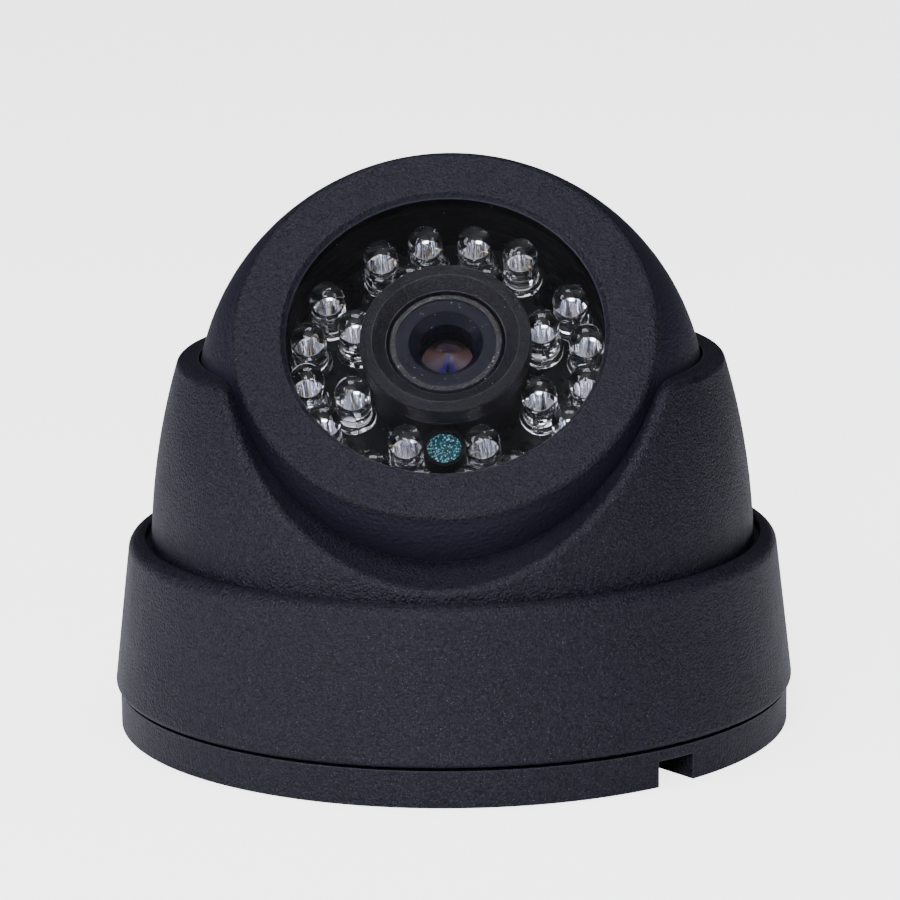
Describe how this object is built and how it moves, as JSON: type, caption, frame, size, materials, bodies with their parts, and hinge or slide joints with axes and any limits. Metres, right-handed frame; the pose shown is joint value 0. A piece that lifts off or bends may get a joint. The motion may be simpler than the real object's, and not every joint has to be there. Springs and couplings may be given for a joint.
{
  "type": "dome cctv camera",
  "caption": "Ceiling dome camera: round twist-on base, panning scooped collar and tilting eyeball with a window, a ring of infra-red lights and a lens.",
  "frame": {"origin": "middle of the mounting face, where the base meets the ceiling or table", "axes": "+Z out of the mounting face along the pan axis, the camera looks towards -Y and up by 42 degrees, +X to the viewer's right"},
  "size_m": [0.0936, 0.0936, 0.0779],
  "materials": {
    "base_plastic": "satin black ABS with a fine leather-like grain",
    "ball_plastic": "satin black ABS, smoother than the base",
    "inner_plastic": "matt black inner moulding",
    "window_clear": "clear polished window",
    "rubber": "matt black seal",
    "steel": "zinc-plated screws",
    "brass": "plain brass",
    "board": "dark solder mask",
    "epoxy_clear": "clear epoxy",
    "lead_metal": "tinned, bright",
    "sensor_face": "teal glittering photocell",
    "lens_black": "satin black anodised",
    "lens_glass": "coated optical glass",
    "filter_glass": "blue-green infra-red cut coating",
    "chip": "black moulded packages",
    "connector": "natural nylon",
    "wire": "soft insulation"
  },
  "bodies": {
    "mount_base": {"mounting_base": "base_plastic"},
    "cover": {"base_cover": "base_plastic"},
    "turret": {"turret_collar": "base_plastic", "ball_clamp_ring": "inner_plastic", "pan_retainer_ring": "inner_plastic", "pan_friction_washer": "rubber", "retainer_screws": "steel"},
    "eyeball": {"eyeball_front_shell": "ball_plastic", "eyeball_rear_shell": "ball_plastic", "tilt_pivot_pins": "steel", "shell_screws": "steel", "window": "window_clear", "window_gasket": "rubber", "window_spacer": "inner_plastic", "led_board": "board", "led_board_screws": "steel", "led_lenses_outer": "epoxy_clear", "led_lenses_inner": "epoxy_clear", "led_leadframes": "lead_metal", "led_board_resistors": "chip", "led_connector": "connector", "led_harness": "wire", "light_sensor": "sensor_face", "light_sensor_sleeve": "rubber", "sensor_board": "board", "sensor_board_components": "chip", "main_connector": "connector", "led_socket": "connector", "board_spacers": "brass", "board_screws": "steel", "image_sensor": "chip", "ir_filter": "filter_glass", "lens_holder": "inner_plastic", "lens_holder_screws": "steel", "lens_hood": "inner_plastic"},
    "lens": {"lens_barrel": "lens_black", "lens_front_ring": "lens_black", "lens_front_element": "lens_glass", "lens_rear_element": "lens_glass", "lens_lock_nut": "lens_black"}
  },
  "joints": [
    {"name": "cover_twist", "type": "hinge", "parent": "mount_base", "child": "cover", "pos_m": [0, 0, 0.0075], "axis": [0, 0, 1], "range_deg": [0, 15]},
    {"name": "pan", "type": "hinge", "parent": "cover", "child": "turret", "pos_m": [0, 0, 0.0225], "axis": [0, 0, 1], "range_deg": [-175, 175]},
    {"name": "tilt", "type": "hinge", "parent": "turret", "child": "eyeball", "pos_m": [0, 0, 0.04315], "axis": [-1, 0, 0], "range_deg": [-12, 48]},
    {"name": "lens_focus", "type": "hinge", "parent": "eyeball", "child": "lens", "pos_m": [0, 0, 0.04315], "axis": [0, -0.7431, 0.6691], "range_deg": [-180, 180]}
  ]
}
